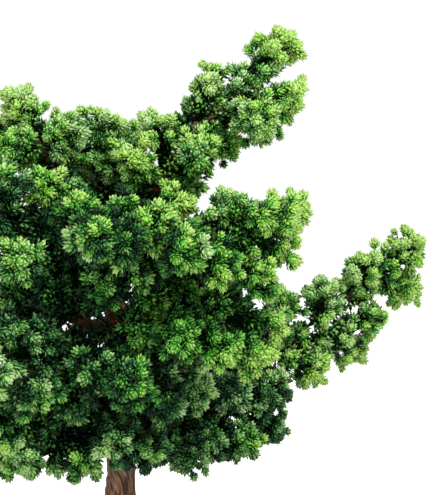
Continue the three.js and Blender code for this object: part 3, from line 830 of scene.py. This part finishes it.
def leafy_part(feet, tips, tones, casts, leaves, sizes, random):
    """A part of many heads, each with its foot, tip, tone and cast."""
    size = random.uniform(*sizes, (len(feet), 1, 1))
    dome = HEAD_LENGTH * size * random.uniform(*HEAD_STRETCH, (len(feet), 1, 1))
    corners, share = head_leaves(feet, tips, leaves, size, dome, random)
    # painted shade at each head's foot, painted light at its tip
    tone = tones[:, None] + HEAD_SLOPE * (share - HEAD_MIDDLE)
    tone = tone + random.normal(0, LEAF_TONE_SPREAD, share.shape)
    cast = casts[:, None] + random.normal(0, LEAF_CAST_SPREAD, share.shape)
    tone = clipped(tone.reshape(-1, 1) + LEAF_TONES, LEAF_DARKEST, TONE_SPAN, LEAF_TONE_STEPS)
    cast = clipped(cast.reshape(-1, 1) + LEAF_CASTS, 0, 1, LEAF_CAST_STEPS)
    keels = corners.reshape(-1, 4, 3)
    parts = [copies(keels, LEAF_FACES, tone[:, LEAF_FACES], cast[:, LEAF_FACES])]
    if leaves > SPARSE_HEAD:
        parts.append(head_cores(feet, tips, tones, casts, size, dome))
    return joined(parts)


def core_part(spray):
    """The core under the tufts, drawn in and near-black as painted shade, with the bare neck left
    as a twig.
    """
    core, faces = spray["core"], spray["faces"]
    _, _, _, across = face_corners(core, faces)
    normals = np.zeros_like(core)
    for corner in range(3):
        np.add.at(normals, faces[:, corner], across)
    leafy = np.zeros(len(core), bool)
    leafy[spray["numbers"]] = leafy[spray["rings"]] = True
    vertices = core - unit(normals) * CORE_SHRINK * leafy[:, None]
    tones = np.where(leafy[faces].any(axis=1), CORE_TONE, TWIG_TONE)[:, None] + TONE_STEPS
    return vertices, faces, tones, np.broadcast_to(TWIG_CASTS, tones.shape)


def spray_tone(feet, tips, ahead):
    """Tone of each tuft: painted shade where others crowd it, brighter in patches of new growth,
    and painted light where it points up.
    """
    open_share = np.exp(-ahead / OPEN_FADE)
    patches = noise_at(tips, TONE_PATCH_SCALE, TONE_PATCH_SHIFT)
    upward = unit(tips - feet)[:, 2]
    return TONE_BASE + TONE_OPEN * open_share + TONE_PATCHES * patches + TONE_UPWARD * upward


def outwardness(tips, spray_tips, combed):
    """How far out along its spray each tuft stands, from -1 by the trunk to 1 at the end."""
    middle = spray_tips.mean(axis=0)
    outward = unit(unit(middle - [TRUNK_X, 0, middle[2]]) + OUTWARD_COMBED * combed)
    reach = np.abs((spray_tips - middle) @ outward).max()
    return np.clip((tips - middle) @ outward / reach, -1, 1)


def look_up(table, name, usual):
    """What a table has for a spray's node, or else for its bough, or else the usual."""
    spray = name.removeprefix("spray_")
    bough = spray[: spray.rindex("_")]
    return table.get(spray, table.get(bough, usual))


def spray_parts(name, spray, all_tips, random):
    """A spray's core and all its heads.

    Dark boughs are more uneven than others: they have a few lit tufts in their shade.
    """
    # the bough's painted light and shade
    bough_light = look_up(SPRAY_LIGHT_AND_SHADE, name, 0)
    tone_spread = TONE_SPREAD + SHADE_SPREAD * max(-bough_light, 0)
    own_cast = look_up(SPRAY_CASTS, name, CAST - CAST_FALL * bough_light)
    combed = np.array(look_up(SPRAY_SWEEPS, name, (0, 0, 0)))
    parts = [core_part(spray)]
    for feet, tips, ahead, leaves, side_leaves in spray_tufts(spray, all_tips):
        if len(feet) == 0:
            continue
        tips, lift = vary(feet, tips, combed, random)
        out = outwardness(tips, spray["tips"], combed)
        tones = spray_tone(feet, tips, ahead) + TONE_LONG * lift
        tones += bough_light + random.normal(0, tone_spread, len(tips))
        tones += TONE_END * out
        casts = random.normal(own_cast, CAST_SPREAD, len(tips))
        casts = np.clip(casts + CAST_END * out, 0, 1)
        parts.append(leafy_part(feet, tips, tones, casts, leaves, END_SIZES, random))
        if side_leaves > 0:
            taken = np.concatenate([spray["tips"], tips])
            feet, tips = side_heads(feet, tips, taken, random)
            tones = tones + random.normal(TONE_SIDE, TONE_SIDE_SPREAD, len(tones))
            parts.append(leafy_part(feet, tips, tones, casts, side_leaves, SIDE_SIZES, random))
    return parts


# Growth inside the crown


def twig_part(starts, ends):
    """A part of closed three-sided twigs."""
    offset = TWIG_RADIUS * around(unit(ends - starts)[:, None], THIRDS[:, None])
    vertices = np.concatenate([starts[:, None] + offset, ends[:, None] + offset], axis=1)
    return copies(vertices, TWIG_FACES, TWIG_TONE + TONE_STEPS, TWIG_CASTS)


def enclosed(places, all_tips):
    """The part of all directions, from each place, in which the sprays' tips lie near."""
    ways = [way for way in np.ndindex(3, 3, 3) if way != (1, 1, 1)]
    directions = unit(np.array(ways) - 1.0)
    shares = np.zeros(len(places))
    for index, place in enumerate(places):
        away = all_tips - place
        distance = norm(away, axis=1)
        near = distance < WITHIN_RADIUS
        seen = away[near] / distance[near, None] @ directions.T > WITHIN_COSINE
        shares[index] = seen.any(axis=0).mean()
    return shares


def nearest(places, others):
    """The distance from each place to the nearest of the others."""
    return np.array([norm(others - place, axis=1).min() for place in places])


def inner_tufts(all_tips, random):
    """Short shaded tufts on the limbs, with patches of bark left bare: twigs, feet and tips."""
    feet, normals = surface_places(*merged_mesh("trunk"), INNER_TUFTS, random)
    leafy = (feet[:, 2] > INNER_LOW) & (noise_at(feet, INNER_BARE_SCALE) < INNER_BARE)
    feet, normals = feet[leafy], normals[leafy]
    outward = feet - [TRUNK_X, 0, 0]
    outward[:, 2] = 0
    direction = unit(normals + INNER_OUTWARD * unit(outward) + INNER_UPWARD * UP)
    starts = feet + direction * random.uniform(*INNER_TWIG, (len(feet), 1))
    tips = starts + direction * random.uniform(*INNER_LENGTH, (len(feet), 1))
    within = crowding(starts, tips, all_tips) > INNER_CROWD
    return twig_part(feet[within], starts[within]), starts[within], tips[within]


def shoot_stems(all_tips, random):
    """Shoots from the limbs into the crown's gaps, spaced apart: feet, directions and lengths."""
    feet, normals = surface_places(*merged_mesh("trunk"), SHOOTS, random)
    direction = unit(normals + random.normal(0, SHOOT_TURN, feet.shape))
    length = random.uniform(*SHOOT_LENGTH, (SHOOTS, 1))
    ends = feet + direction * length + UP * SHOOT_LIFT * length
    fit = (feet[:, 2] > INNER_LOW) & (nearest(ends, all_tips) > SHOOT_ROOM)
    fit[fit] = enclosed(ends[fit], all_tips) > SHOOT_WITHIN
    kept = []
    for index in np.nonzero(fit)[0]:
        if all(norm(ends[other] - ends[index]) > SHOOT_ROOM for other in kept):
            kept.append(index)
    return feet[kept], direction[kept], length[kept]


def inner_shoots(all_tips, random):
    """Curved shoots in the crown's gaps: twigs, and their tufts' feet and tips."""
    feet, direction, length = shoot_stems(all_tips, random)
    bend = unit(random.normal(size=feet.shape)) * SHOOT_BEND * length
    joints = []
    for step in range(SHOOT_JOINTS):
        share = step / (SHOOT_JOINTS - 1)
        curve = direction * share + UP * SHOOT_LIFT * share**2
        joints.append(feet + curve * length + bend * 4 * share * (1 - share))
    twigs, tuft_feet, tuft_tips = [], [], []
    for before, joint in zip(joints, joints[1:]):
        twigs.append(twig_part(before, joint))
        leading = unit(joint - before)
        for _ in range(SHOOT_TUFTS):
            side = unit(leading + random.normal(0, SHOOT_TUFT_TURN, leading.shape))
            tuft_feet.append(joint)
            tuft_tips.append(joint + side * random.uniform(*INNER_LENGTH, (len(leading), 1)))
    return joined(twigs), np.concatenate(tuft_feet), np.concatenate(tuft_tips)


def build_inner_growth(all_tips, materials):
    random = np.random.default_rng(INNER_SEED)
    twigs, limb_feet, limb_tips = inner_tufts(all_tips, random)
    shoots, shoot_feet, shoot_tips = inner_shoots(all_tips, random)
    feet = np.concatenate([limb_feet, shoot_feet])
    tips = np.concatenate([limb_tips, shoot_tips])
    ahead = crowding(feet, tips, all_tips)
    # painted shade, lighter where fewer tufts crowd
    tones = INNER_TONE + INNER_OPEN * np.exp(-ahead / INNER_FADE)
    tones = tones + random.normal(0, INNER_TONE_SPREAD, len(feet))
    casts = np.clip(random.normal(CAST, CAST_SPREAD, len(feet)), 0, 1)
    heads = leafy_part(feet, tips, tones, casts, INNER_LEAVES, INNER_SIZES, random)
    toned_piece("inner_growth", [twigs, shoots, heads], materials)


def build_foliage(materials):
    names = sorted(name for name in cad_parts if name.startswith("spray_"))
    sprays = [read_spray(name) for name in names]
    all_tips = np.concatenate([spray["tips"] for spray in sprays])
    for index, (name, spray) in enumerate(zip(names, sprays)):
        parts = spray_parts(name, spray, all_tips, np.random.default_rng(SEED + index))
        piece = toned_piece(f"leafy_{name}", parts, materials)
        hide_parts(name)
    build_inner_growth(all_tips, materials)


# Trunk


def fibre_axes(places, vertices, faces):
    """The way the wood runs at each place: along which the surface near it turns least."""
    a, b, c, across = face_corners(vertices, faces)
    middles = (a + b + c) / 3
    spread = across[:, :, None] * unit(across)[:, None]
    axes = np.empty_like(places)
    for start in range(0, len(places), FIBRE_BLOCK):
        block = places[start : start + FIBRE_BLOCK]
        distance = norm(block[:, None] - middles[None], axis=2)
        weight = np.exp(-((distance / FIBRE_REACH) ** 2))
        turning = np.einsum("pf,fij->pij", weight, spread)
        axes[start : start + FIBRE_BLOCK] = np.linalg.eigh(turning)[1][:, :, 0]
    return axes


def build_trunk():
    """The trunk, limbs and roots with rounded joins, gnarls and stringy bark."""
    vertices, faces = merged_mesh("trunk")
    rough = new_mesh_object("trunk_rough", vertices, faces)
    remesh = rough.modifiers.new("remesh", "REMESH")
    remesh.mode = "VOXEL"
    remesh.voxel_size = BARK_VOXEL
    smooth = rough.modifiers.new("smooth", "SMOOTH")
    smooth.iterations = BARK_SMOOTH
    mesh = with_modifiers(rough)
    bpy.data.objects.remove(rough)
    piece = add_object("bark_trunk", mesh)
    places = vertex_places(mesh)
    normals = np.array([vertex.normal for vertex in mesh.vertices])
    axes = fibre_axes(places, vertices, faces)
    along = np.sum(places * axes, axis=1, keepdims=True) * axes
    fibres = FIBRE_ACROSS * (places - along) + FIBRE_ALONG * along
    depth = FIBRE_DEPTH * noise_at(fibres, 1) + GNARL_DEPTH * noise_at(places, GNARL_SCALE)
    places += normals * depth[:, None]
    mesh.vertices.foreach_set("co", places.astype(np.float32).ravel())
    fibre = mesh.attributes.new("fibre", "FLOAT_VECTOR", "POINT")
    fibre.data.foreach_set("vector", fibres.astype(np.float32).ravel())
    mesh.shade_smooth()
    mesh.update()
    mesh.materials.append(bark_material())
    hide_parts("trunk")
    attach(piece, "root")


# Pot


def rounded_outline(half, corner, inset):
    """A rectangle's outline with round corners, drawn in by the inset, as [x, y] places."""
    places = []
    radius = corner - inset
    for quarter, (right, back) in enumerate([(1, 1), (-1, 1), (-1, -1), (1, -1)]):
        for step in range(CORNER_POINTS):
            angle = (quarter + step / (CORNER_POINTS - 1)) * math.pi / 2
            x = right * (half[0] - corner) + radius * math.cos(angle)
            y = back * (half[1] - corner) + radius * math.sin(angle)
            places.append((x, y))
    return places


def rounded_profile(corners):
    """Rows of [inset, height] along straight stretches, with each corner rounded."""
    rows = [corners[0]]
    for before, corner, after in zip(corners, corners[1:], corners[2:]):
        before, corner, after = Vector(before), Vector(corner), Vector(after)
        start = corner + (before - corner).normalized() * EDGE_ROUND
        end = corner + (after - corner).normalized() * EDGE_ROUND
        for step in range(ROUND_POINTS + 1):
            share = step / ROUND_POINTS
            rows.append(tuple(start.lerp(corner, share).lerp(corner.lerp(end, share), share)))
    rows.append(corners[-1])
    return rows


def lofted_solid(name, half, corner, rows):
    """A closed solid from a rounded rectangle's outline at each row of [inset, height]."""
    mesh = bmesh.new()
    rings = []
    for inset, height in rows:
        outline = rounded_outline(half, corner, inset)
        rings.append([mesh.verts.new((x, y, height)) for x, y in outline])
    for lower, upper in zip(rings, rings[1:]):
        for index in range(len(lower)):
            after = (index + 1) % len(lower)
            mesh.faces.new([lower[index], lower[after], upper[after], upper[index]])
    mesh.faces.new(list(reversed(rings[0])))
    mesh.faces.new(rings[-1])
    data = bpy.data.meshes.new(name)
    mesh.to_mesh(data)
    mesh.free()
    return add_object(name, data)


def combine(body, other, operation):
    """Changes the body by a Boolean operation with the other solid, which is used up."""
    modifier = body.modifiers.new("combine", "BOOLEAN")
    modifier.operation = operation
    modifier.solver = "EXACT"
    modifier.object = other
    mesh = with_modifiers(body)
    body.modifiers.clear()
    body.data = mesh
    bpy.data.objects.remove(other)


def smooth_by_angle(piece):
    """Smooth shading that keeps the sharp edges."""
    bpy.context.view_layer.objects.active = piece
    for other in bpy.context.selected_objects:
        other.select_set(False)
    piece.select_set(True)
    bpy.ops.object.shade_smooth_by_angle(angle=SMOOTH_ANGLE)


def build_pot():
    """The pot with its edges and corners rounded: wall, lip, four feet and drainage holes."""
    floor_height = FOOT_HEIGHT + POT_FLOOR
    lip_foot = POT_HEIGHT - LIP_HEIGHT
    rows = rounded_profile([
        (POT_TAPER + 4 * EDGE_ROUND, FOOT_HEIGHT),
        (POT_TAPER, FOOT_HEIGHT),
        (LIP_REACH, lip_foot),
        (0, lip_foot),
        (0, POT_HEIGHT),
        (POT_WALL + LIP_REACH, POT_HEIGHT),
        (POT_WALL + POT_TAPER, floor_height),
        (POT_WALL + POT_TAPER + 2 * EDGE_ROUND, floor_height),
    ])
    pot = lofted_solid("clay_pot", POT_HALF, POT_CORNER, rows)
    foot_top = FOOT_HEIGHT + EDGE_ROUND
    deep = 3 * EDGE_ROUND
    foot_rows = rounded_profile([(deep, 0), (EDGE_ROUND, 0), (0, foot_top), (deep, foot_top)])
    for x in (-FOOT_PLACE[0], FOOT_PLACE[0]):
        for y in (-FOOT_PLACE[1], FOOT_PLACE[1]):
            foot = lofted_solid("pot_foot", (FOOT_HALF, FOOT_HALF), 4 * EDGE_ROUND, foot_rows)
            foot.location = (x, y, 0)
            combine(pot, foot, "UNION")
    for x in (-DRAIN_X, DRAIN_X):
        sizes = dict(vertices=DRAIN_POINTS, radius=DRAIN_RADIUS, depth=4 * POT_FLOOR)
        bpy.ops.mesh.primitive_cylinder_add(**sizes, location=(x, 0, FOOT_HEIGHT))
        combine(pot, bpy.context.object, "DIFFERENCE")
    pot.data.materials.clear()
    pot.data.materials.append(clay_material())
    smooth_by_angle(pot)
    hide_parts("pot")
    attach(pot, "root")


# Soil and moss


def soil_surface():
    """The soil's upward faces."""
    vertices, faces = merged_mesh("soil")
    a, _, _, across = face_corners(vertices, faces)
    upward = unit(across)[:, 2] > SOIL_UPWARD
    return vertices, faces[upward & (a[:, 2] > SOIL_LOW)]


def random_turns(count, random):
    """Random rotation matrices."""
    w, x, y, z = unit(random.normal(size=(count, 4))).T
    rows = [
        [1 - 2 * (y * y + z * z), 2 * (x * y - z * w), 2 * (x * z + y * w)],
        [2 * (x * y + z * w), 1 - 2 * (x * x + z * z), 2 * (y * z - x * w)],
        [2 * (x * z - y * w), 2 * (y * z + x * w), 1 - 2 * (x * x + y * y)],
    ]
    return np.moveaxis(np.array(rows), 2, 0)


def build_grains():
    """Crumbs of the potting mix over the soil, each a lumpy stone of 20 faces."""
    random = np.random.default_rng(GRAIN_SEED)
    places, _ = surface_places(*soil_surface(), GRAINS, random)
    ball = bmesh.new()
    bmesh.ops.create_icosphere(ball, subdivisions=1, radius=1)
    stone = np.array([vertex.co[:] for vertex in ball.verts])
    stone_faces = np.array([[vertex.index for vertex in face.verts] for face in ball.faces])
    ball.free()
    smallest, largest = GRAIN_SIZE
    each = (GRAINS, 1, 1)
    size = smallest + (largest - smallest) * random.uniform(0, 1, each) ** 2
    squash = random.uniform(*GRAIN_SQUASH, (GRAINS, 1, 3))
    lumps = random.uniform(*GRAIN_LUMPS, (GRAINS, len(stone), 1))
    stones = stone * (squash * lumps) * size
    stones = np.einsum("gij,gvj->gvi", random_turns(GRAINS, random), stones)
    vertices = places[:, None] + stones + UP * size * GRAIN_RISE
    tones = np.clip(random.beta(*GRAIN_TONES, each), *GRAIN_TONE_RANGE) + TONE_STEPS
    casts = random.uniform(*GRAIN_CASTS, each) + CAST_STEPS
    part = copies(vertices, stone_faces, tones, casts)
    toned_piece("soil_grains", [part], [grain_material()])


def build_moss(materials):
    """Moss in patches on the soil, of narrow upright blades."""
    random = np.random.default_rng(MOSS_SEED)
    places, _ = surface_places(*soil_surface(), MOSS_BLADES, random)
    from_trunk = norm(places[:, :2] - [TRUNK_X, 0], axis=1)
    by_trunk = MOSS_BY_TRUNK * np.exp(-from_trunk / MOSS_REACH)
    cover = noise_at(places, MOSS_SCALE) + by_trunk - MOSS_BARE
    places, cover = places[cover > 0], cover[cover > 0]
    count = len(places)
    height = random.uniform(*MOSS_HEIGHT, (count, 1))
    height = height * (MOSS_EDGE + np.minimum(cover, MOSS_THICK))[:, None]
    lean = random.normal(0, MOSS_LEAN, (count, 3)) * [1, 1, 0]
    point = places + height * unit(lean + UP) + MOSS_RISE * UP
    turn = random.uniform(0, math.tau, (count, 1)) + THIRDS
    out = np.stack([np.cos(turn), np.sin(turn), 0 * turn], axis=2)
    vertices = np.concatenate([places[:, None] + MOSS_WIDTH * out, point[:, None]], axis=1)
    tones = random.uniform(*MOSS_TONES, (count, 1)) + MOSS_CORNERS
    casts = random.uniform(*MOSS_CASTS, (count, 1, 1)) + CAST_STEPS
    part = copies(vertices, MOSS_FACES, tones[:, MOSS_FACES], casts)
    toned_piece("moss", [part], materials)


# Studio


def aim(thing, place, direction):
    """Puts a camera or lamp at a place, facing along a direction."""
    thing.location = place
    thing.rotation_mode = "QUATERNION"
    thing.rotation_quaternion = direction.to_track_quat("-Z", "Y")


def build_camera():
    camera = add_object("camera", bpy.data.cameras.new("camera"))
    camera.data.sensor_width = SENSOR
    camera.data.lens = SENSOR * FOCAL_PX / FRAME_HEIGHT_PX
    camera.data.clip_start, camera.data.clip_end = CLIP
    back = Vector((0, -math.cos(ELEVATION), math.sin(ELEVATION)))
    aim(camera, TARGET + DISTANCE * back, -back)
    bpy.context.scene.camera = camera


def area_light(name, place, power):
    light = bpy.data.lights.new(name, "AREA")
    light.size = LIGHT_SIZE
    light.energy = power
    aim(add_object(name, light), place, LIGHT_TARGET - Vector(place))


def build_studio():
    world = bpy.data.worlds.new("studio")
    world.use_nodes = True
    background = world.node_tree.nodes["Background"]
    background.inputs["Color"].default_value = (1, 1, 1, 1)
    background.inputs["Strength"].default_value = WORLD_STRENGTH
    bpy.context.scene.world = world
    bpy.context.scene.view_settings.view_transform = "Standard"
    area_light("key", place=(0.5, -0.9, 1.3), power=34)
    area_light("fill", place=(-1.1, -0.8, 0.7), power=8)
    bpy.ops.mesh.primitive_plane_add(size=FLOOR_SIZE)
    floor = bpy.context.object
    floor.name = "floor"
    material, _, shader = new_material("floor", roughness=0.9)
    shader.inputs["Base Color"].default_value = FLOOR_COLOUR
    floor.data.materials.append(material)


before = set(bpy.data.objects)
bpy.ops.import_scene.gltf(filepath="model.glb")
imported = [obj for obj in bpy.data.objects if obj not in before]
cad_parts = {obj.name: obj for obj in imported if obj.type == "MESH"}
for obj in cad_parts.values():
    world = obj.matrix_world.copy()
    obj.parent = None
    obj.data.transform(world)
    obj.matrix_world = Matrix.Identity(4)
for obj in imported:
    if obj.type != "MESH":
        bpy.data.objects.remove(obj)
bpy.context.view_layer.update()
build_camera()
build_studio()
dress_nodes()
leaf_materials = [leaf_material(), shade_core_material()]
build_foliage(leaf_materials)
build_trunk()
build_pot()
build_grains()
build_moss(leaf_materials)
